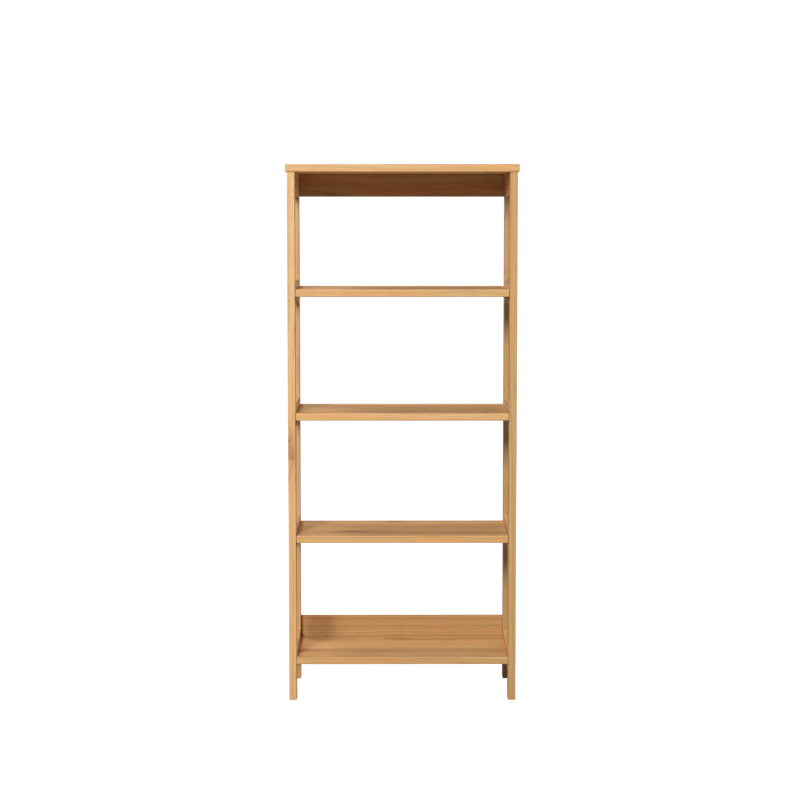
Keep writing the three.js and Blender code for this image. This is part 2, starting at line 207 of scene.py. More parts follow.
def make_world():
    """The camera sees plain white; the object is lit by a much dimmer dome."""
    world = bpy.data.worlds.new("studio")
    world.use_nodes = True
    bpy.context.scene.world = world
    g = Graph(world.node_tree)
    seen = g.add("ShaderNodeBackground", {"Color": WHITE, "Strength": BACKGROUND_STRENGTH})
    lit = g.add("ShaderNodeBackground", {"Color": DOME_COLOUR, "Strength": DOME_STRENGTH})
    camera_ray = g.add("ShaderNodeLightPath").outputs["Is Camera Ray"]
    mixed = g.add("ShaderNodeMixShader", {0: camera_ray, 1: lit.outputs[0], 2: seen.outputs[0]})
    g.add("ShaderNodeOutputWorld", {"Surface": mixed.outputs[0]})


def make_floor():
    """A plain white floor that runs into the background. Its shadows are too faint to show."""
    mesh = bpy.data.meshes.new("floor")
    bm = bmesh.new()
    bmesh.ops.create_grid(bm, x_segments=1, y_segments=1, size=FLOOR_HALF_WIDTH)
    bm.to_mesh(mesh)
    bm.free()
    floor = bpy.data.objects.new("floor", mesh)
    floor.location.z = cad_low.z
    bpy.context.scene.collection.objects.link(floor)
    material = bpy.data.materials.new("floor_white")
    material.use_nodes = True
    g = Graph(material.node_tree)
    base = g.add("ShaderNodeBsdfDiffuse", {"Color": (FLOOR_ALBEDO, FLOOR_ALBEDO, FLOOR_ALBEDO, 1)})
    place = g.add("ShaderNodeTexCoord").outputs["Object"]
    away = g.add("ShaderNodeVectorMath", {0: place}, operation="LENGTH").outputs["Value"]
    glow = g.add("ShaderNodeMapRange", {
        "Value": away,
        "From Min": GLOW_RISES_FROM,
        "From Max": GLOW_RISES_TO,
        "To Min": FLOOR_GLOW_NEAR,
        "To Max": FLOOR_GLOW_FAR,
    }, interpolation_type="SMOOTHSTEP").outputs["Result"]
    lift = g.add("ShaderNodeEmission", {"Color": WHITE, "Strength": glow})
    nothing = g.add("ShaderNodeEmission", {"Color": BLACK, "Strength": 0.0})
    camera_ray = g.add("ShaderNodeLightPath").outputs["Is Camera Ray"]
    lifted = g.add("ShaderNodeMixShader",
                   {0: camera_ray, 1: nothing.outputs[0], 2: lift.outputs[0]})
    both = g.add("ShaderNodeAddShader", {0: base.outputs[0], 1: lifted.outputs[0]})
    g.add("ShaderNodeOutputMaterial", {"Surface": both.outputs[0]})
    mesh.materials.append(material)


WARM_WHITE = (1.0, 0.98, 0.95)
SOFT_WHITE = (1.0, 0.985, 0.965)
MIDDLE = (0.0, 0.0, 0.85)

# Each light's name, place, aim, width and height in metres, power in watts, and colour.
LIGHTS = (
    ("key", (-2.2, -7.6, 4.35), (0.0, 0.0, 0.6), (2.2, 2.2), 700.0, WARM_WHITE),
    ("high_left", (-1.5, 0.7, 3.1), (-0.2, 0.0, 0.8), (0.9, 0.9), 28.0, WARM_WHITE),
    ("right", (3.6, 1.4, 1.2), MIDDLE, (1.8, 1.8), 48.0, SOFT_WHITE),
    ("back_left", (-2.0, 3.0, 2.5), MIDDLE, (3.0, 2.6), 45.0, SOFT_WHITE),
    ("back_right", (2.4, 3.0, 2.4), MIDDLE, (3.0, 2.6), 35.0, SOFT_WHITE),
)


def make_stage():
    make_camera()
    make_world()
    make_floor()
    for light in LIGHTS:
        area_light(*light)
    bpy.context.scene.view_settings.view_transform = "Standard"


# ------------------------ oak

def linear(red, green, blue):
    """A display colour, 0 to 255, as the linear values that shaders take."""
    def one(value):
        value /= 255.0
        return value / 12.92 if value <= 0.04045 else ((value + 0.055) / 1.055) ** 2.4
    return (one(red), one(green), one(blue))


GRAIN_AXES = {"x": "xyz", "y": "yzx", "z": "zxy"}  # along, across and through the board
GRAIN_DIRECTIONS = {"x": (1.0, 0.0, 0.0), "y": (0.0, 1.0, 0.0), "z": (0.0, 0.0, 1.0)}

PALE_WOOD = linear(230, 190, 138)
MID_WOOD = linear(207, 160, 105)
RING_LINE = linear(172, 121, 72)
STREAK = linear(146, 96, 52)
PORE = linear(112, 76, 46)
KNOT = linear(102, 58, 28)
GLUE_SHADE = (0.45, 0.36, 0.28)
END_GRAIN_SHADE = (0.72, 0.64, 0.55)
OAK_STREAKS = 0.35

# Lengths in the wood's shader are millimetres.
PER_METRE = 1000.0
STAVE_UNEVENNESS = 0.45  # how much the staves of a board differ in width
GLUE_LINE_HALF_WIDTH = 0.22
STAVE_SHIFT = 2900.0  # the most that a board's staves are shifted along their log
LOG_SHIFT = 4000.0  # the most that a whole board is shifted
PITH_ASIDE = (38.0, 90.0)  # a plain board's distance from the pith, across
STAVE_PITH_ASIDE = 170.0  # the whole spread of the staves' distances
PITH_BELOW = 26.0
PITH_BELOW_SPREAD = 45.0
PITH_WANDER = 40.0
PITH_WANDER_LENGTH = 900.0
PITH_SWAY = 14.0
PITH_SWAY_LENGTH = 420.0
SWAY_START = 7000.0  # a part of the noise that the wander doesn't use
LOG_TAPER = 0.009

RING_WIDTH = 3.6
RING_UNEVENNESS = 3.2  # in rings
RING_UNEVENNESS_LENGTH = 17.0
WOBBLE = 3.2
TREMBLE = 0.45
BAND_LENGTH = 11.0
BAND_START = 300.0

# The grains of each noise: length along the board, width across it, depth through it.
WOBBLE_CELL = (200.0, 16.0, 16.0)
TREMBLE_CELL = (45.0, 3.0, 3.0)
DRIFT_CELL = (420.0, 34.0, 34.0)
HUE_CELL = (520.0, 9.0, 9.0)
FIBRE_CELL = (60.0, 0.8, 0.8)
PORE_CELL = (9.0, 0.36, 0.36)
SHEEN_CELL = (90.0, 40.0, 40.0)
KNOT_CELL = (36.0, 15.0, 15.0)
STREAK_CELL = (150.0, 3.4, 30.0)  # along, between rings, through
FLECK_CELL = (3.0, 6.0, 1.6)  # along, between rings, across

KNOT_UNEVENNESS = 0.7
KNOT_FALLOFF = -0.28
KNOT_PUSH = 1.3  # how far the rings bend round a knot, in its radii
KNOT_RINGS = 2.3  # dark rings for each radius


class Log:
    """Where a board lay in its log, in mm: along it, and its distance from the pith."""

    def __init__(self, g, grain, centre, seed, stave_width):
        chance = random.Random(seed)
        place = g.add("ShaderNodeTexCoord").outputs["Object"]
        split = g.add("ShaderNodeSeparateXYZ", {0: place}).outputs
        axes = ["xyz".index(axis) for axis in GRAIN_AXES[grain]]
        self.along, self.across, self.through = (
            g.math("MULTIPLY", split[axis], PER_METRE) for axis in axes
        )
        _, centre_across, centre_through = (centre[axis] * PER_METRE for axis in axes)
        self.glue_line = None
        if stave_width:
            row = g.math("ADD", g.math("DIVIDE", self.across, stave_width), chance.uniform(5, 50))
            cell = self.voronoi_row(g, row, "F1")
            edge = self.voronoi_row(g, row, "DISTANCE_TO_EDGE")
            own_colour = g.add("ShaderNodeSeparateColor", {0: cell.outputs["Color"]})
            first, second, third = own_colour.outputs
            self.glue_line = g.math("LESS_THAN", edge.outputs["Distance"],
                                    GLUE_LINE_HALF_WIDTH / stave_width)
            from_middle = g.math("SUBTRACT", row, cell.outputs["W"])
            local_across = g.math("MULTIPLY", from_middle, stave_width)
            side = g.swing(second, STAVE_PITH_ASIDE)
        else:
            first, second, third = (chance.random() for _ in range(3))
            local_across = g.math("SUBTRACT", self.across, centre_across)
            side = chance.choice((-1, 1)) * chance.uniform(*PITH_ASIDE)
        self.tone = second

        shift = g.math("ADD", g.math("MULTIPLY", first, STAVE_SHIFT),
                       chance.uniform(-LOG_SHIFT, LOG_SHIFT))
        self.along_log = g.math("ADD", self.along, shift)
        wander = g.swing(g.noise_1d(self.along_log, PITH_WANDER_LENGTH), PITH_WANDER)
        sway_place = g.math("ADD", self.along_log, SWAY_START)
        sway = g.swing(g.noise_1d(sway_place, PITH_SWAY_LENGTH), PITH_SWAY)
        depth = g.math("ADD", g.math("MULTIPLY", third, PITH_BELOW_SPREAD), PITH_BELOW)
        taper = g.math("MULTIPLY", self.along_log, LOG_TAPER)
        self.from_pith_across = g.math("SUBTRACT", g.math("SUBTRACT", local_across, side), wander)
        local_through = g.math("SUBTRACT", self.through, centre_through)
        from_pith_through = g.math("ADD", g.math("ADD", local_through, depth), sway)
        radius = g.math("SQRT", g.math(
            "ADD",
            g.math("MULTIPLY", self.from_pith_across, self.from_pith_across),
            g.math("MULTIPLY", from_pith_through, from_pith_through),
        ))
        self.radius = g.math("ADD", radius, taper)

    @staticmethod
    def voronoi_row(g, row, feature):
        node = g.add("ShaderNodeTexVoronoi", {"Scale": 1.0, "Randomness": STAVE_UNEVENNESS},
                     voronoi_dimensions="1D", feature=feature)
        g.tree.links.new(row, node.inputs["W"])
        return node

    def cell(self, g, size):
        """A point for a noise whose grains have this length, width and depth."""
        return g.cell((self.along_log, self.across, self.through), size)


def knot_fields(g, log, knots):
    """Bends the rings round each knot.

    Returns three values for each knot: the distance from its heart in radii, a closeness that
    falls from 1 at the heart to 0 far away, and its darkness.
    """
    fields = []
    for along, across, radius, stretch, darkness in knots:
        off_along = g.math("DIVIDE", g.math("SUBTRACT", log.along, along), stretch)
        off_across = g.math("SUBTRACT", log.across, across)
        uneven = g.noise(log.cell(g, KNOT_CELL), 1.0)
        distance = g.math("SQRT", g.math(
            "ADD",
            g.math("MULTIPLY", off_along, off_along),
            g.math("MULTIPLY", off_across, off_across),
        ))
        reach = g.math("ADD", g.math("DIVIDE", distance, radius), g.swing(uneven, KNOT_UNEVENNESS))
        reach_squared = g.math("MULTIPLY", reach, reach)
        near = g.math("POWER", math.e, g.math("MULTIPLY", reach_squared, KNOT_FALLOFF))
        log.radius = g.math("ADD", log.radius, g.math("MULTIPLY", near, radius * KNOT_PUSH))
        fields.append((reach, near, darkness))
    return fields


def oak(name, grain, centre, seed, stave_width=None, tone_and_painted_light=(1.0, 1.0, 1.0), streaks=OAK_STREAKS,
        knots=()):
    """Solid oak cut from a log: growth rings round a wandering pith, pores, streaks and knots.

    A board glued up from staves gets its own piece of log for each stave. knots lists each
    knot's place along and across, its radius, its stretch along the grain and its darkness.
    """
    material = bpy.data.materials.new(name)
    material.use_nodes = True
    g = Graph(material.node_tree)
    log = Log(g, grain, centre, seed, stave_width)
    knot_list = knot_fields(g, log, knots)
    wobble = g.swing(g.noise(log.cell(g, WOBBLE_CELL), 1.0), WOBBLE)
    tremble = g.swing(g.noise(log.cell(g, TREMBLE_CELL), 1.0), TREMBLE)
    radius = g.math("ADD", g.math("ADD", log.radius, wobble), tremble)

    # Growth rings of uneven width. Each has a porous start, and its own darkness.
    spread = g.math("MULTIPLY", g.noise_1d(radius, RING_UNEVENNESS_LENGTH), RING_UNEVENNESS)
    count = g.math("ADD", g.math("DIVIDE", radius, RING_WIDTH), spread)
    phase = g.math("FRACT", count)
    ring_number = g.math("FLOOR", count)
    own = g.add("ShaderNodeTexWhiteNoise", noise_dimensions="1D")
    g.tree.links.new(ring_number, own.inputs["W"])
    own_darkness = g.ramp(own.outputs["Value"], [(0.0, 0.15), (0.7, 0.45), (1.0, 1.0)])
    early = g.ramp(phase, [(0.0, 0.55), (0.06, 1.0), (0.22, 0.75), (0.42, 0.12), (0.86, 0.0),
                           (1.0, 0.5)])
    line = g.math("MULTIPLY", early, own_darkness)
    for _, near, darkness in knot_list:
        line = g.math("ADD", line, g.math("MULTIPLY", g.math("MULTIPLY", near, early), darkness))

    # Colour drifts slowly with the rings and along the board.
    band_place = g.math("ADD", radius, BAND_START)
    band = g.ramp(g.noise_1d(band_place, BAND_LENGTH), [(0.3, 0.0), (0.7, 1.0)])
    drift = g.noise(log.cell(g, DRIFT_CELL))
    paleness = g.math("ADD", g.math("MULTIPLY", band, 0.55), g.math("MULTIPLY", drift, 0.5))
    colour = g.blend("MIX", paleness, MID_WOOD, PALE_WOOD)
    colour = g.blend("MIX", g.math("MULTIPLY", line, 0.72, clamp=True), colour, RING_LINE)
    warmth = g.ramp(drift, [(0.32, (1.05, 0.955, 0.86)), (0.68, (0.97, 1.01, 1.0))])
    colour = g.blend("MULTIPLY", 1.0, colour, warmth)
    hue = g.noise(log.cell(g, HUE_CELL), 1.0)
    hue_shade = g.ramp(hue, [(0.36, (1.05, 0.955, 0.92)), (0.64, (0.985, 1.03, 0.95))])
    colour = g.blend("MULTIPLY", 1.0, colour, hue_shade)

    # Fine fibre: hair-thin lines of slightly different brightness.
    fibre = g.noise(log.cell(g, FIBRE_CELL), 2.0, 0.6)
    colour = g.blend("MULTIPLY", 1.0, colour, g.ramp(fibre, [(0.3, 0.93), (0.7, 1.05)]))

    # Dark mineral streaks, long and thin.
    smear = g.noise(g.cell((log.along_log, radius, log.through), STREAK_CELL), 2.0, 0.6)
    smear = g.math("MULTIPLY", g.ramp(smear, [(0.58, 0.0), (0.74, 1.0)]), streaks)
    colour = g.blend("MIX", smear, colour, STREAK)

    # Pores: dark dashes, thick in the early wood and rare in the late.
    dash = g.noise(log.cell(g, PORE_CELL), 0.0)
    limit = g.ramp(early, [(0.0, 0.72), (1.0, 0.575)])
    pore = g.math("MULTIPLY", g.math("SUBTRACT", dash, limit), 14.0, clamp=True)
    colour = g.blend("MIX", g.math("MULTIPLY", pore, 0.42), colour, PORE)

    # Ray flecks: short pale ribbons where the rings stand square to the face.
    fleck = g.noise(g.cell((log.along_log, radius, log.from_pith_across), FLECK_CELL), 1.0)
    fleck = g.math("MULTIPLY", g.ramp(fleck, [(0.62, 0.0), (0.72, 1.0)]), 0.2)
    colour = g.blend("MIX", fleck, colour, PALE_WOOD)

    for reach, near, darkness in knot_list:
        swirl = g.math("FRACT", g.math("MULTIPLY", reach, KNOT_RINGS))
        flame = g.ramp(swirl, [(0.0, 0.8 * darkness), (0.45, 0.3 * darkness), (1.0, 0.7 * darkness)])
        colour = g.blend("MIX", g.math("MULTIPLY", near, flame), colour, STREAK)
        heart = g.ramp(reach, [(0.28, darkness), (0.66, 0.0)])
        colour = g.blend("MIX", heart, colour, KNOT)

    if log.glue_line is not None:
        stave_tone = g.ramp(log.tone, [(0.0, (0.84, 0.80, 0.74)), (0.5, (0.98, 0.97, 0.95)),
                                       (1.0, (1.08, 1.07, 1.06))])
        colour = g.blend("MULTIPLY", 1.0, colour, stave_tone)
        colour = g.blend("MULTIPLY", g.math("MULTIPLY", log.glue_line, 0.35), colour, GLUE_SHADE)

    # The ends of the fibres drink more finish: end grain is darker and duller.
    normal = g.add("ShaderNodeTexCoord").outputs["Normal"]
    facing = g.add("ShaderNodeVectorMath", {0: normal, 1: GRAIN_DIRECTIONS[grain]},
                   operation="DOT_PRODUCT").outputs["Value"]
    end_grain = g.ramp(g.math("ABSOLUTE", facing), [(0.55, 0.0), (0.85, 1.0)])
    colour = g.blend("MULTIPLY", end_grain, colour, END_GRAIN_SHADE)
    # This factor is the piece's own tone. On the posts, back rails and boards it also holds painted
    # light and shade.
    colour = g.blend("MULTIPLY", 1.0, colour, tone_and_painted_light)

    sheen = g.noise(log.cell(g, SHEEN_CELL))
    roughness = g.ramp(sheen, [(0.3, 0.37), (0.7, 0.47)])
    roughness = g.math("ADD", roughness, g.math("MULTIPLY", pore, 0.2))
    roughness = g.math("ADD", roughness, g.math("MULTIPLY", end_grain, 0.15))
    relief = g.math("ADD", g.math("MULTIPLY", pore, -1.0), g.math("MULTIPLY", early, -0.3))
    relief = g.math("ADD", relief, g.math("MULTIPLY", fibre, 0.5))
    bump = g.add("ShaderNodeBump", {"Strength": 0.4, "Distance": 0.00012, "Height": relief})
    shader = g.add("ShaderNodeBsdfPrincipled", {
        "Base Color": colour,
        "Roughness": roughness,
        "Normal": bump.outputs[0],
    })
    g.add("ShaderNodeOutputMaterial", {"Surface": shader.outputs[0]})
    return material


# ------------------------ metal

UNEVEN_SCALE = 900.0
TARNISH_SCALE = 120.0
TARNISH_SHADE = 0.82


def metal(name, colour, roughness):
    """Plated steel or die-cast zinc, finely uneven and a little tarnished."""
    material = bpy.data.materials.new(name)
    material.use_nodes = True
    g = Graph(material.node_tree)
    place = g.add("ShaderNodeTexCoord").outputs["Object"]
    fine = g.noise(place, 3.0, 0.6, UNEVEN_SCALE)
    broad = g.noise(place, scale=TARNISH_SCALE)
    tarnished = tuple(value * TARNISH_SHADE for value in colour)
    tone = g.ramp(broad, [(0.3, tarnished), (0.7, colour)])
    rough = g.ramp(fine, [(0.25, roughness * 0.75), (0.75, min(1.0, roughness * 1.35))])
    bump = g.add("ShaderNodeBump", {"Strength": 0.2, "Distance": 0.00005, "Height": fine})
    shader = g.add("ShaderNodeBsdfPrincipled", {
        "Base Color": tone,
        "Roughness": rough,
        "Metallic": 1.0,
        "Normal": bump.outputs[0],
    })
    g.add("ShaderNodeOutputMaterial", {"Surface": shader.outputs[0]})
    return material


# ------------------------ meshes

ARRIS = 2.0 * MM
BOARD_ARRIS = 3.0 * MM
END_ARRIS = 1.2 * MM
SHOULDER_ARRIS = 0.3 * MM  # where a rail's end meets a post
LEAST_ARRIS = 0.1 * MM
ARRIS_SEGMENTS = 4
SMOOTH_ANGLE = math.radians(32)
ON_AXIS = 1e-7  # a profile point closer than this lies on the axis


def new_piece(name, bm):
    mesh = bpy.data.meshes.new(name)
    bmesh.ops.recalc_face_normals(bm, faces=bm.faces)
    bm.to_mesh(mesh)
    bm.free()
    piece = bpy.data.objects.new(name, mesh)
    bpy.context.scene.collection.objects.link(piece)
    return piece


def rounded_section(width, height, radius, segments):
    """The corners, anticlockwise, of a rectangle with rounded corners about the origin."""
    points = []
    for quarter, (x, y) in enumerate(((1, 1), (-1, 1), (-1, -1), (1, -1))):
        for step in range(segments + 1):
            angle = math.pi / 2 * (quarter + step / segments)
            points.append((
                x * (width / 2 - radius) + radius * math.cos(angle),
                y * (height / 2 - radius) + radius * math.sin(angle),
            ))
    return points


def skin(bm, rings):
    """Faces from each ring of vertices to the next, and a cap on the first and last ring."""
    count = len(rings[0])
    for near, far in zip(rings, rings[1:]):
        for i in range(count):
            j = (i + 1) % count
            bm.faces.new((near[i], near[j], far[j], far[i]))
    bm.faces.new(rings[0][::-1])
    bm.faces.new(rings[-1])


def plank_mesh(low, high, grain, end_arris=END_ARRIS, arris=ARRIS, segments=ARRIS_SEGMENTS):
    """A planed board between two corners. Its long edges and its ends are rounded by hand."""
    low, high = Vector(low), Vector(high)
    axis = "xyz".index(grain)
    wide, tall = ((1, 2), (2, 0), (0, 1))[axis]
    size = high - low
    middle = (low + high) / 2
    stations = []
    for step in range(segments + 1):
        angle = math.pi / 2 * step / segments
        inset = end_arris * (1 - math.sin(angle))
        stations.append((end_arris * (1 - math.cos(angle)), inset))
    length = size[axis]
    rows = [(-length / 2 + depth, inset) for depth, inset in stations]
    rows += [(-place, inset) for place, inset in reversed(rows)]

    bm = bmesh.new()
    rings = []
    for place, inset in rows:
        section = rounded_section(size[wide] - 2 * inset, size[tall] - 2 * inset,
                                  max(arris - inset, LEAST_ARRIS), segments)
        ring = []
        for u, v in section:
            point = middle.copy()
            point[axis] += place
            point[wide] += u
            point[tall] += v
            ring.append(bm.verts.new(point))
        rings.append(ring)
    skin(bm, rings)
    return bm


def box_mesh(low, high):
    bm = bmesh.new()
    bmesh.ops.create_cube(bm, size=1.0)
    bmesh.ops.scale(bm, vec=Vector(high) - Vector(low), verts=bm.verts)
    bmesh.ops.translate(bm, vec=(Vector(high) + Vector(low)) / 2, verts=bm.verts)
    return bm


def on_circle(radius, step, steps):
    angle = 2 * math.pi * step / steps
    return radius * math.cos(angle), radius * math.sin(angle)


def turned_mesh(profile, segments, place):
    """A profile of (radius, height) pairs turned round Z, closed on the axis, then placed."""
    bm = bmesh.new()
    rings = []
    for radius, height in profile:
        if radius < ON_AXIS:
            rings.append([bm.verts.new((0.0, 0.0, height))])
            continue
        rings.append([
            bm.verts.new((*on_circle(radius, i, segments), height))
            for i in range(segments)
        ])
    for lower, upper in zip(rings, rings[1:]):
        for i in range(segments):
            j = (i + 1) % segments
            corners = [lower[i % len(lower)], lower[j % len(lower)],
                       upper[j % len(upper)], upper[i % len(upper)]]
            bm.faces.new(list(dict.fromkeys(corners)))
    bmesh.ops.transform(bm, matrix=place, verts=bm.verts)
    return bm


def boolean(piece, cutters, operation="DIFFERENCE"):
    """Cuts every cutter out of the piece, or joins them all to it, and keeps the result."""
    for cutter in cutters:
        tool = new_piece("tool", cutter)
        modifier = piece.modifiers.new("cut", "BOOLEAN")
        modifier.operation = operation
        modifier.solver = "EXACT"
        modifier.object = tool
        graph = bpy.context.evaluated_depsgraph_get()
        made = bpy.data.meshes.new_from_object(piece.evaluated_get(graph), depsgraph=graph)
        piece.modifiers.remove(modifier)
        old = piece.data
        piece.data = made
        bpy.data.meshes.remove(old)
        bpy.data.objects.remove(tool)
    piece.data.name = piece.name


def merged(meshes):
    """Several separate closed shapes as one mesh."""
    whole = bmesh.new()
    for bm in meshes:
        holder = bpy.data.meshes.new("holder")
        bmesh.ops.recalc_face_normals(bm, faces=bm.faces)
        bm.to_mesh(holder)
        bm.free()
        whole.from_mesh(holder)
        bpy.data.meshes.remove(holder)
    return whole


def finish_piece(piece, material, body, node):
    mesh = piece.data
    mesh.materials.clear()
    mesh.materials.append(material)
    mesh.polygons.foreach_set("use_smooth", [True] * len(mesh.polygons))
    mesh.set_sharp_from_angle(angle=SMOOTH_ANGLE)
    weighted = piece.modifiers.new("even shading", "WEIGHTED_NORMAL")
    weighted.keep_sharp = True
    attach(piece, body)
    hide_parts(node)


def pointing(direction, place):
    """A matrix that takes +Z to a direction and the origin to a place."""
    turn = Vector(direction).to_track_quat("Z", "Y").to_matrix().to_4x4()
    return Matrix.Translation(place) @ turn


# ------------------------ holes and joints

GAP = 0.3 * MM
OUTSIDE = 2 * MM  # how far in front of the wood a cutter starts
TENON_THICKNESS = 7 * MM
TENON_HEIGHT = 50 * MM
TENON_FROM_OUTER_FACE = 8 * MM
TENON_END_ARRIS = 0.8 * MM
TENON_ARRIS = 1.0 * MM
TENON_ARRIS_SEGMENTS = 2
PIN_RADIUS = 2.5 * MM
PIN_HOLE_DEPTH = 8 * MM
PIN_HOLE_PITCH = 32 * MM
PIN_HOLE_STEPS = (-2, -1, 0, 1, 2)
RIM = 0.35 * MM  # the small countersink round a drilled hole
HOLE_SEGMENTS = 32
SCREW_HOLE_SEGMENTS = 40
CAM_HOLE_SEGMENTS = 48
SCREW_LENGTH = 50 * MM
SCREW_HEAD_RADIUS = 5 * MM
SCREW_HEAD_THICKNESS = 3 * MM
SCREW_SHANK_RADIUS = 3.5 * MM
DOWEL_RADIUS = 4 * MM
CAM_RADIUS = 7.2 * MM
CAM_BOLT_RADIUS = 3.2 * MM


def middle_of(node):
    low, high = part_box(node)
    return (low + high) / 2


def inner_and_outer(node, side):
    """The x of a piece's face towards the middle of the bookcase, and of its face away from it."""
    low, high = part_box(node)
    return (low.x, high.x) if side > 0 else (high.x, low.x)


def sideways(node, x, way):
    """A matrix that takes +Z to +X or -X, and the origin to this x on a piece's middle line."""
    place = middle_of(node)
    return pointing((way, 0, 0), (x, place.y, place.z))


def drill(radius, depth, mouth, inward):
    """A blind round hole from a face. inward points into the wood."""
    profile = [
        (0.0, -OUTSIDE),
        (radius + RIM + OUTSIDE, -OUTSIDE),
        (radius, RIM),
        (radius, depth - radius * 0.35),
        (radius * 0.7, depth),
        (0.0, depth),
    ]
    return turned_mesh(profile, HOLE_SEGMENTS, pointing(inward, mouth))


def screw_hole(node, side):
    """The hole and head recess of a screw that points towards the middle of the bookcase."""
    _, face_x = inner_and_outer(node, side)
    head = SCREW_HEAD_RADIUS + GAP
    shank = SCREW_SHANK_RADIUS + GAP
    floor = SCREW_HEAD_THICKNESS + GAP
    end = SCREW_LENGTH + GAP
    profile = [
        (0.0, -OUTSIDE),
        (head + RIM + OUTSIDE, -OUTSIDE),
        (head, RIM),
        (head, floor),
        (shank, floor),
        (shank, end),
        (0.0, end),
    ]
    return turned_mesh(profile, SCREW_HOLE_SEGMENTS, sideways(node, face_x, -side))


def dowel_hole(node, side):
    start, finish = inner_and_outer(node, side)
    reach = abs(finish - start) + GAP
    wide = DOWEL_RADIUS + GAP
    profile = [(0.0, -GAP), (wide, -GAP), (wide, reach), (0.0, reach)]
    return turned_mesh(profile, HOLE_SEGMENTS, sideways(node, start, side))


def cam_hole(node, side):
    """The blind hole, open towards the middle of the bookcase, that a cam sits in."""
    face_x, back_x = inner_and_outer(node, side)
    depth = abs(back_x - face_x) + GAP
    wide = CAM_RADIUS + GAP
    profile = [
        (0.0, -OUTSIDE),
        (wide + RIM + OUTSIDE, -OUTSIDE),
        (wide, RIM),
        (wide, depth),
        (0.0, depth),
    ]
    return turned_mesh(profile, CAM_HOLE_SEGMENTS, sideways(node, face_x, side))


def tenon_span(side_name, side, rail, grow):
    """The corners of a side rail's tenons, end to end, or of their mortises with grow."""
    low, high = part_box(f"{side_name}_{rail}_side_rail")
    _, outer_x = inner_and_outer(f"{side_name}_front_post", side)
    centre_x = outer_x - side * TENON_FROM_OUTER_FACE
    centre_z = (low.z + high.z) / 2
    half_x = TENON_THICKNESS / 2 + grow
    half_z = TENON_HEIGHT / 2 + grow
    return (Vector((centre_x - half_x, low.y - grow, centre_z - half_z)),
            Vector((centre_x + half_x, high.y + grow, centre_z + half_z)))


# ------------------------ the wooden pieces

def make_post(side_name, side, end_name, end, material):
    node = f"{side_name}_{end_name}_post"
    low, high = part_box(node)
    piece = new_piece(f"oak_{node}", plank_mesh(low, high, "z"))

    mortises = []
    for rail in SIDE_RAILS:
        span_low, span_high = tenon_span(side_name, side, rail, GAP)
        if end < 0:
            span_high.y = high.y + ARRIS
        else:
            span_low.y = low.y - ARRIS
        mortises.append(box_mesh(span_low, span_high))

    holes = []
    inner_x, _ = inner_and_outer(node, side)
    for shelf in MOVING_SHELVES:
        pin_low, pin_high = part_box(f"{shelf}_shelf_pin_{side_name}_{end_name}")
        axis_z = pin_high.z - PIN_RADIUS
        pin_y = (pin_low.y + pin_high.y) / 2
        for step in PIN_HOLE_STEPS:
            mouth = (inner_x, pin_y, axis_z + step * PIN_HOLE_PITCH)
            holes.append(drill(PIN_RADIUS + GAP, PIN_HOLE_DEPTH, mouth, (side, 0, 0)))
    if end > 0:
        for rail in BACK_RAILS:
            holes.append(screw_hole(f"{rail}_back_rail_screw_{side_name}", side))
            holes.append(dowel_hole(f"{rail}_back_rail_dowel_{side_name}", side))
    boolean(piece, [merged(mortises), merged(holes)])
    finish_piece(piece, material, FRAME_BODY, node)


def make_side_rail(side_name, side, rail, material):
    node = f"{side_name}_{rail}_side_rail"
    low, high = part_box(node)
    front_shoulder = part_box(f"{side_name}_front_post")[1].y + GAP
    rear_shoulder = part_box(f"{side_name}_rear_post")[0].y - GAP
    body = plank_mesh((low.x, front_shoulder, low.z), (high.x, rear_shoulder, high.z), "y",
                      SHOULDER_ARRIS)
    piece = new_piece(f"oak_{node}", body)
    tenon = plank_mesh(*tenon_span(side_name, side, rail, 0), "y", TENON_END_ARRIS, TENON_ARRIS,
                       TENON_ARRIS_SEGMENTS)
    boolean(piece, [tenon], "UNION")

    holes = []
    for end_name, _ in ENDS:
        if rail == "bottom":
            holes.append(screw_hole(f"bottom_shelf_screw_{side_name}_{end_name}", side))
        if rail == "top":
            cam = f"top_cam_{side_name}_{end_name}"
            holes.append(cam_hole(cam, side))
            bolt = middle_of(f"top_cam_bolt_{side_name}_{end_name}")
            depth = high.z - middle_of(cam).z
            mouth = (bolt.x, bolt.y, high.z)
            holes.append(drill(CAM_BOLT_RADIUS + GAP, depth, mouth, (0, 0, -1)))
    boolean(piece, holes)
    finish_piece(piece, material, FRAME_BODY, node)


def make_back_rail(rail, material):
    node = f"{rail}_back_rail"
    piece = new_piece(f"oak_{node}", plank_mesh(*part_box(node), "x", SHOULDER_ARRIS))
    holes = []
    for side_name, side in SIDES:
        holes.append(screw_hole(f"{node}_screw_{side_name}", side))
        holes.append(dowel_hole(f"{node}_dowel_{side_name}", side))
    boolean(piece, [merged(holes)])
    finish_piece(piece, material, FRAME_BODY, node)


def make_bottom_shelf(material):
    node = "bottom_shelf"
    piece = new_piece(f"oak_{node}", plank_mesh(*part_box(node), "x", arris=BOARD_ARRIS))
    holes = [
        screw_hole(f"bottom_shelf_screw_{side_name}_{end_name}", side)
        for side_name, side in SIDES
        for end_name, _ in ENDS
    ]
    boolean(piece, [merged(holes)])
    finish_piece(piece, material, FRAME_BODY, node)


def make_moving_shelf(shelf, material):
    node = f"{shelf}_shelf"
    piece = new_piece(f"oak_{node}", plank_mesh(*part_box(node), "x", arris=BOARD_ARRIS))
    finish_piece(piece, material, f"{node}_board", node)


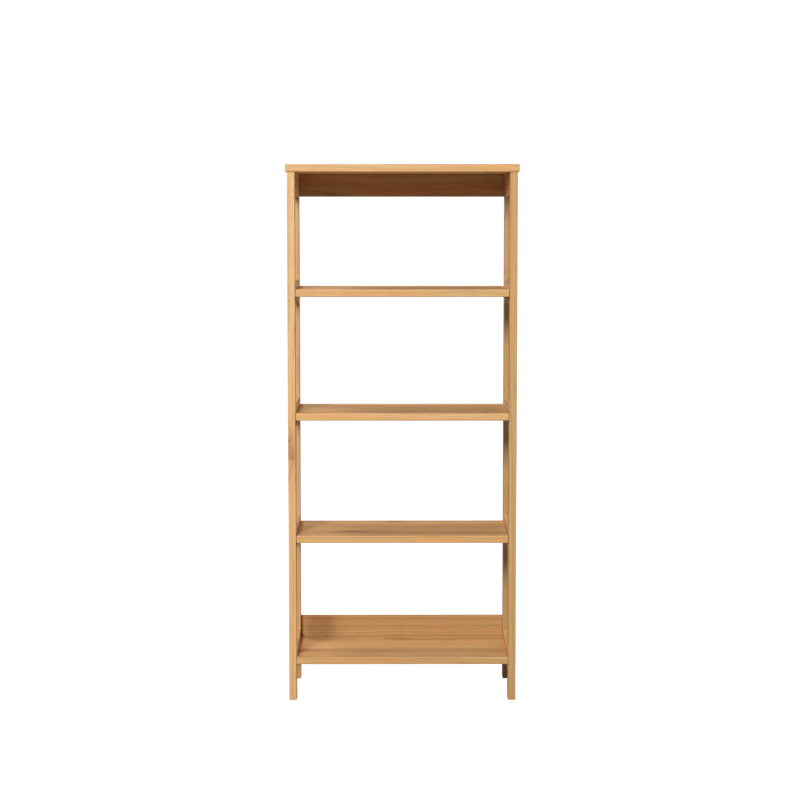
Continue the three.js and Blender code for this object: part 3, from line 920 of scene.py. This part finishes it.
def make_top(material):
    node = "top_panel"
    low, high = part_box(node)
    piece = new_piece(f"oak_{node}", plank_mesh(low, high, "x", arris=BOARD_ARRIS))
    holes = []
    for side_name, _ in SIDES:
        for end_name, _ in ENDS:
            bolt = f"top_cam_bolt_{side_name}_{end_name}"
            place = middle_of(bolt)
            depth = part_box(bolt)[1].z - low.z + GAP
            mouth = (place.x, place.y, low.z)
            holes.append(drill(CAM_BOLT_RADIUS + GAP, depth, mouth, (0, 0, 1)))
    boolean(piece, [merged(holes)])
    finish_piece(piece, material, FRAME_BODY, node)


# Knots: place along and across the grain and radius in mm, stretch along the grain, darkness.
POST_KNOTS = {
    "left_front": [(767, -337, 17, 3.0, 0.3), (796, -339, 5, 1.7, 0.6), (743, -331, 5, 1.8, 0.6)],
}
BOARD_KNOTS = {
    "bottom_shelf": [(-305, -73, 8, 4.0, 0.9), (-3, 104, 8, 3.6, 0.8)],
    "lower_shelf": [(-154, -82, 12, 4.2, 0.8), (-25, 124, 9, 3.4, 0.8), (196, -113, 6, 6.0, 0.5),
                    (-258, -131, 5, 8.0, 0.5)],
}
RAIL_TINT = (1.0, 0.965, 0.91)
# Colour factors for the posts: part the wood's own tone, part painted light and shade. The left
# front post is brightened, and the right posts and the left rear post are darkened, as the light
# falls from the left.
POST_TONES_AND_PAINTED_LIGHT = {
    "left_front": (1.06, 1.05, 1.07),
    "left_rear": (0.85, 0.86, 0.92),
    "right_front": (0.85, 0.85, 0.80),
    "right_rear": (0.74, 0.75, 0.70),
}
# Colour factors for the back rails: mostly painted shade that darkens both rails, the upper one
# under the top most, with some of the wood's own tone.
BACK_RAIL_TONES_AND_PAINTED_SHADE = {"upper": (0.70, 0.63, 0.53), "lower": (0.70, 0.66, 0.60)}
# Colour factors for the boards: part the wood's own tone, part painted light that brightens the
# upper and middle shelves.
BOARD_TONES_AND_PAINTED_LIGHT = {
    "top_panel": (1.0, 1.0, 0.97),
    "upper_shelf": (1.06, 1.08, 1.08),
    "middle_shelf": (1.05, 1.08, 1.10),
    "lower_shelf": (1.02, 1.02, 0.98),
    "bottom_shelf": (1.0, 0.98, 0.94),
}
STAVE_WIDTH = 62.0

# Every board has a seed of its own, counted up from these.
POST_SEED = 11
SIDE_RAIL_SEED = 31
SEEDS_FOR_A_SIDE = 7
BACK_RAIL_SEED = 51
SHELF_SEED = 61
TOP_SEED = 71
DOWEL_SEED = 91


def glued_board(node, seed):
    return oak(f"oak_{node}", "x", middle_of(node), seed, STAVE_WIDTH, BOARD_TONES_AND_PAINTED_LIGHT[node],
               knots=BOARD_KNOTS.get(node, ()))


def make_wood():
    for index, (side_name, side) in enumerate(SIDES):
        for end_name, end in ENDS:
            seed = POST_SEED + 2 * index + (end > 0)
            place = f"{side_name}_{end_name}"
            node = f"{place}_post"
            material = oak(f"oak_{node}", "z", middle_of(node), seed, tone_and_painted_light=POST_TONES_AND_PAINTED_LIGHT[place],
                           knots=POST_KNOTS.get(place, ()))
            make_post(side_name, side, end_name, end, material)
        for number, rail in enumerate(SIDE_RAILS):
            seed = SIDE_RAIL_SEED + SEEDS_FOR_A_SIDE * index + number
            node = f"{side_name}_{rail}_side_rail"
            material = oak(f"oak_{node}", "y", middle_of(node), seed, tone_and_painted_light=RAIL_TINT)
            make_side_rail(side_name, side, rail, material)
    for number, rail in enumerate(BACK_RAILS):
        node = f"{rail}_back_rail"
        material = oak(f"oak_{node}", "x", middle_of(node), BACK_RAIL_SEED + number,
                       tone_and_painted_light=BACK_RAIL_TONES_AND_PAINTED_SHADE[rail])
        make_back_rail(rail, material)
    make_bottom_shelf(glued_board("bottom_shelf", SHELF_SEED))
    for number, shelf in enumerate(MOVING_SHELVES, start=1):
        make_moving_shelf(shelf, glued_board(f"{shelf}_shelf", SHELF_SEED + number))
    make_top(glued_board("top_panel", TOP_SEED))


# ------------------------ the hardware

PIN_PADDLE_THICKNESS = 2 * MM
PIN_PADDLE_RADIUS = 5 * MM
PIN_COLLAR_RADIUS = 4.5 * MM
PIN_COLLAR_THICKNESS = 1 * MM
PIN_COLLAR_EDGE = 0.25 * MM
PIN_RIBS = 4
PIN_GROOVE_RADIUS = PIN_RADIUS * 0.93
PADDLE_EDGE = 0.4 * MM
PADDLE_TURN_STEPS = 20
EDGE_BEND = 0.3  # where a softened edge bends, as a share of its size
PIN_SEGMENTS = 32


def paddle_mesh(start, reach, half_width, bottom, top):
    """A flat tongue along +X with a round end and softened edges, between two heights."""
    edge = PADDLE_EDGE
    bend = edge * EDGE_BEND
    levels = (
        (bottom, edge),
        (bottom + bend, bend),
        (bottom + edge, 0.0),
        (top - edge, 0.0),
        (top - bend, bend),
        (top, edge),
    )
    bm = bmesh.new()
    rings = []
    for height, inset in levels:
        radius = half_width - inset
        centre = reach - half_width
        outline = [(start, -radius)]
        for step in range(PADDLE_TURN_STEPS + 1):
            angle = math.pi * (step / PADDLE_TURN_STEPS - 0.5)
            outline.append((centre + radius * math.cos(angle), radius * math.sin(angle)))
        outline.append((start, radius))
        rings.append([bm.verts.new((x, y, height)) for x, y in outline])
    skin(bm, rings)
    return bm


def make_pin(shelf, side_name, side, end_name, material):
    """A bronze pin: a ribbed stem in the post, a collar and a flat paddle under the shelf."""
    node = f"{shelf}_shelf_pin_{side_name}_{end_name}"
    low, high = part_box(node)
    inner_x, outer_x = inner_and_outer(node, side)
    face_x, _ = inner_and_outer(f"{side_name}_{end_name}_post", side)
    axis = Vector((face_x, (low.y + high.y) / 2, high.z - PIN_RADIUS))
    stem_length = abs(outer_x - face_x)
    reach = abs(face_x - inner_x)
    collar_far = GAP + PIN_COLLAR_THICKNESS

    # The profile runs from the stem's tip, inside the post, to the collar in front of it.
    profile = [
        (0.0, -stem_length),
        (PIN_RADIUS * 0.6, -stem_length),
        (PIN_RADIUS, -stem_length * 0.86),
    ]
    for rib in range(PIN_RIBS):
        start = -stem_length * (0.8 - 0.17 * rib)
        profile += [
            (PIN_RADIUS, start),
            (PIN_GROOVE_RADIUS, start + 0.25 * MM),
            (PIN_GROOVE_RADIUS, start + 0.45 * MM),
            (PIN_RADIUS, start + 0.7 * MM),
        ]
    profile += [
        (PIN_RADIUS, GAP),
        (PIN_COLLAR_RADIUS - PIN_COLLAR_EDGE, GAP),
        (PIN_COLLAR_RADIUS, GAP + PIN_COLLAR_EDGE),
        (PIN_COLLAR_RADIUS, collar_far - PIN_COLLAR_EDGE),
        (PIN_COLLAR_RADIUS - PIN_COLLAR_EDGE, collar_far),
        (0.0, collar_far),
    ]
    inward = pointing((-side, 0, 0), axis)
    piece = new_piece(f"bronze_{node}", turned_mesh(profile, PIN_SEGMENTS, inward))

    paddle = paddle_mesh(GAP + PIN_COLLAR_EDGE, reach, PIN_PADDLE_RADIUS,
                         PIN_RADIUS - PIN_PADDLE_THICKNESS, PIN_RADIUS)
    turn = Matrix.Rotation(math.pi, 4, "Z") if side > 0 else Matrix.Identity(4)
    bmesh.ops.transform(paddle, matrix=Matrix.Translation(axis) @ turn, verts=paddle.verts)
    boolean(piece, [paddle], "UNION")
    # The collar is cut off level with the paddle, which lies against the shelf.
    above = box_mesh(Vector((axis.x - 20 * MM, low.y - 5 * MM, high.z)),
                     Vector((axis.x + 20 * MM, high.y + 5 * MM, high.z + 10 * MM)))
    boolean(piece, [above])
    finish_piece(piece, material, FRAME_BODY, node)


THREAD_PITCH = 3.0 * MM
THREAD_OUTER = 3.0 * MM
THREAD_CORE = 2.25 * MM
THREAD_START = 24.5 * MM  # from the face of the head
SOCKET_RADIUS = 2.3 * MM
SOCKET_DEPTH = 2.2 * MM
SOCKET_LEAD = 0.3 * MM
SOCKET_SIDES = 6
SCREW_HEAD_EDGE = 0.5 * MM
SCREW_TIP_LENGTH = 5.0 * MM
SCREW_TIP_RADIUS = 0.15 * MM
SCREW_SEGMENTS = 36
ROWS_PER_PITCH = 8
RIDGE_HALF_WIDTH = 0.22  # of the pitch


def threaded_mesh(place):
    """A screw along +Z from its head's face at the origin, with a real spiral ridge."""
    around = SCREW_SEGMENTS
    rounded = SCREW_HEAD_EDGE
    head = [
        (SCREW_HEAD_RADIUS - rounded, 0.0),
        (SCREW_HEAD_RADIUS - rounded * EDGE_BEND, rounded * EDGE_BEND),
        (SCREW_HEAD_RADIUS, rounded),
        (SCREW_HEAD_RADIUS, SCREW_HEAD_THICKNESS - 1.0 * MM),
        (SCREW_SHANK_RADIUS, SCREW_HEAD_THICKNESS),
        (SCREW_SHANK_RADIUS, THREAD_START - 0.8 * MM),
    ]
    rows = [[point] * around for point in head]
    threaded = SCREW_LENGTH - THREAD_START
    count = round(threaded / THREAD_PITCH * ROWS_PER_PITCH)
    for row in range(count + 1):
        height = THREAD_START + threaded * row / count
        to_tip = SCREW_LENGTH - height
        narrowing = min(1.0, max(0.0, to_tip / SCREW_TIP_LENGTH)) ** 0.7
        ring = []
        for i in range(around):
            turn = (height / THREAD_PITCH - i / around) % 1.0
            ridge = max(0.0, 1.0 - abs(turn - 0.5) / RIDGE_HALF_WIDTH)
            fade = min(1.0, (height - THREAD_START) / THREAD_PITCH + 0.1)
            radius = THREAD_CORE + (THREAD_OUTER - THREAD_CORE) * ridge * fade
            ring.append((max(radius * narrowing, SCREW_TIP_RADIUS), height))
        rows.append(ring)

    bm = bmesh.new()
    rings = []
    for row in rows:
        rings.append([
            bm.verts.new((*on_circle(radius, i, around), height))
            for i, (radius, height) in enumerate(row)
        ])
    skin(bm, rings)
    bmesh.ops.transform(bm, matrix=place, verts=bm.verts)
    return bm


def make_screw(node, side, material):
    _, face_x = inner_and_outer(node, side)
    inward = sideways(node, face_x, -side)
    piece = new_piece(f"zinc_{node}", threaded_mesh(inward))
    profile = [
        (0.0, -1 * MM),
        (SOCKET_RADIUS + SOCKET_LEAD + 1 * MM, -1 * MM),
        (SOCKET_RADIUS, SOCKET_LEAD),
        (SOCKET_RADIUS, SOCKET_DEPTH - 0.4 * MM),
        (0.0, SOCKET_DEPTH),
    ]
    boolean(piece, [turned_mesh(profile, SOCKET_SIDES, inward)])
    finish_piece(piece, material, FRAME_BODY, node)


DOWEL_FLUTES = 14
STEPS_PER_FLUTE = 6
DOWEL_CHAMFER = 1.0 * MM
DOWEL_END_SCALE = 0.72
FLUTE_DEPTH = 0.06  # of the radius


def make_dowel(node, material):
    """A beech dowel with glue flutes along it and chamfered ends."""
    low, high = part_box(node)
    length = high.x - low.x
    around = DOWEL_FLUTES * STEPS_PER_FLUTE
    stations = [
        (0.0, DOWEL_END_SCALE),
        (DOWEL_CHAMFER, 1.0),
        (length - DOWEL_CHAMFER, 1.0),
        (length, DOWEL_END_SCALE),
    ]
    bm = bmesh.new()
    rings = []
    for station, scale in stations:
        ring = []
        for i in range(around):
            groove = FLUTE_DEPTH * max(0.0, math.cos(2 * math.pi * DOWEL_FLUTES * i / around))
            y, z = on_circle(DOWEL_RADIUS * scale * (1.0 - groove), i, around)
            place = (low.x + station, (low.y + high.y) / 2 + y, (low.z + high.z) / 2 + z)
            ring.append(bm.verts.new(place))
        rings.append(ring)
    skin(bm, rings)
    finish_piece(new_piece(f"beech_{node}", bm), material, FRAME_BODY, node)


CAM_CAP = 6 * MM
CAM_SLOT_WIDTH = 8 * MM
CAM_RECESS_LENGTH = 8 * MM
CAM_RECESS_WIDTH = 1.6 * MM
CAM_RECESS_DEPTH = 2.5 * MM
CAM_EDGE = 0.5 * MM
CAM_GROOVE = 0.3 * MM
CAM_SEGMENTS = 64


def make_cam(side_name, side, end_name, material):
    """A die-cast cam: a disc with a cross recess in its face and a slot behind for the bolt."""
    node = f"top_cam_{side_name}_{end_name}"
    face_x, back_x = inner_and_outer(node, side)
    place = middle_of(node)
    thickness = abs(back_x - face_x)
    edge = CAM_EDGE
    profile = [
        (0.0, 0.0),
        (CAM_RADIUS - edge, 0.0),
        (CAM_RADIUS - edge * EDGE_BEND, edge * EDGE_BEND),
        (CAM_RADIUS, edge),
        (CAM_RADIUS, CAM_CAP - 1.0 * MM),
        (CAM_RADIUS - CAM_GROOVE, CAM_CAP - 0.7 * MM),
        (CAM_RADIUS - CAM_GROOVE, CAM_CAP),
        (CAM_RADIUS, CAM_CAP + CAM_GROOVE),
        (CAM_RADIUS, thickness - edge),
        (CAM_RADIUS - edge, thickness),
        (0.0, thickness),
    ]
    outward = sideways(node, face_x, side)
    piece = new_piece(f"cast_{node}", turned_mesh(profile, CAM_SEGMENTS, outward))

    def across(depth_from, depth_to, half_y, down, up):
        """A cutting box between two depths behind the cam's face."""
        xs = sorted((face_x + side * depth_from, face_x + side * depth_to))
        return box_mesh(Vector((xs[0], place.y - half_y, place.z - down)),
                        Vector((xs[1], place.y + half_y, place.z + up)))

    slot_half = CAM_SLOT_WIDTH / 2
    slot = across(CAM_CAP + 0.6 * MM, thickness + 1 * MM, slot_half, slot_half,
                  CAM_RADIUS + 1 * MM)
    long_half, short_half = CAM_RECESS_LENGTH / 2, CAM_RECESS_WIDTH / 2
    recess = [
        across(-1 * MM, CAM_RECESS_DEPTH, short_half, long_half, long_half),
        across(-1 * MM, CAM_RECESS_DEPTH, long_half, short_half, short_half),
    ]
    boolean(piece, [slot, *recess])
    finish_piece(piece, material, FRAME_BODY, node)


CAM_BOLT_HEAD = 3.0 * MM
CAM_BOLT_NECK_RADIUS = 2.0 * MM
CAM_BOLT_EDGE = 0.5 * MM
CAM_BOLT_THREAD_CORE = CAM_BOLT_RADIUS * 0.78
CAM_BOLT_PITCH = 1.4 * MM
CAM_BOLT_SEGMENTS = 32


def make_cam_bolt(side_name, end_name, material):
    """The bolt that screws into the top: a round head in the cam, a neck, a shank, a thread."""
    node = f"top_cam_bolt_{side_name}_{end_name}"
    low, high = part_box(node)
    place = middle_of(node)
    length = high.z - low.z
    head_radius = (high.x - low.x) / 2
    head = CAM_BOLT_HEAD
    neck = CAM_BOLT_NECK_RADIUS
    shoulder = length - (high.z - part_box("top_panel")[0].z)
    edge = CAM_BOLT_EDGE
    collar = head + CAM_RADIUS - 0.5 * MM
    core = CAM_BOLT_THREAD_CORE
    profile = [
        (0.0, 0.0),
        (head_radius - edge, 0.0),
        (head_radius, edge),
        (head_radius, head - edge),
        (head_radius - edge, head),
        (neck, head),
        (neck, collar),
        (CAM_BOLT_RADIUS, collar + 1.0 * MM),
        (CAM_BOLT_RADIUS, shoulder),
        (core, shoulder + 0.4 * MM),
    ]
    pitch = CAM_BOLT_PITCH
    height = shoulder + 0.8 * MM
    while height + pitch < length - 0.6 * MM:
        profile += [
            (core, height),
            (CAM_BOLT_RADIUS, height + pitch * 0.45),
            (CAM_BOLT_RADIUS, height + pitch * 0.55),
            (core, height + pitch * 0.95),
        ]
        height += pitch
    profile += [
        (CAM_BOLT_RADIUS * 0.7, length - 0.3 * MM),
        (CAM_BOLT_RADIUS * 0.45, length),
        (0.0, length),
    ]
    upright = Matrix.Translation((place.x, place.y, low.z))
    piece = new_piece(f"zinc_{node}", turned_mesh(profile, CAM_BOLT_SEGMENTS, upright))
    finish_piece(piece, material, FRAME_BODY, node)


BRONZE = linear(128, 100, 70)
ZINC = linear(186, 189, 192)
CAST_ZINC = linear(150, 152, 155)
BEECH_TINT = (1.02, 0.98, 0.95)


def make_hardware():
    bronze = metal("bronze_plate", BRONZE, 0.42)
    zinc = metal("zinc_plate", ZINC, 0.34)
    cast = metal("cast_zinc", CAST_ZINC, 0.5)
    beech = oak("beech", "x", (0.0, 0.0, 0.0), DOWEL_SEED, tone_and_painted_light=BEECH_TINT, streaks=0.0)
    for side_name, side in SIDES:
        for rail in BACK_RAILS:
            make_screw(f"{rail}_back_rail_screw_{side_name}", side, zinc)
            make_dowel(f"{rail}_back_rail_dowel_{side_name}", beech)
        for end_name, _ in ENDS:
            for shelf in MOVING_SHELVES:
                make_pin(shelf, side_name, side, end_name, bronze)
            make_screw(f"bottom_shelf_screw_{side_name}_{end_name}", side, zinc)
            make_cam(side_name, side, end_name, cast)
            make_cam_bolt(side_name, end_name, zinc)


# ------------------------ the assembly

make_stage()
make_wood()
make_hardware()
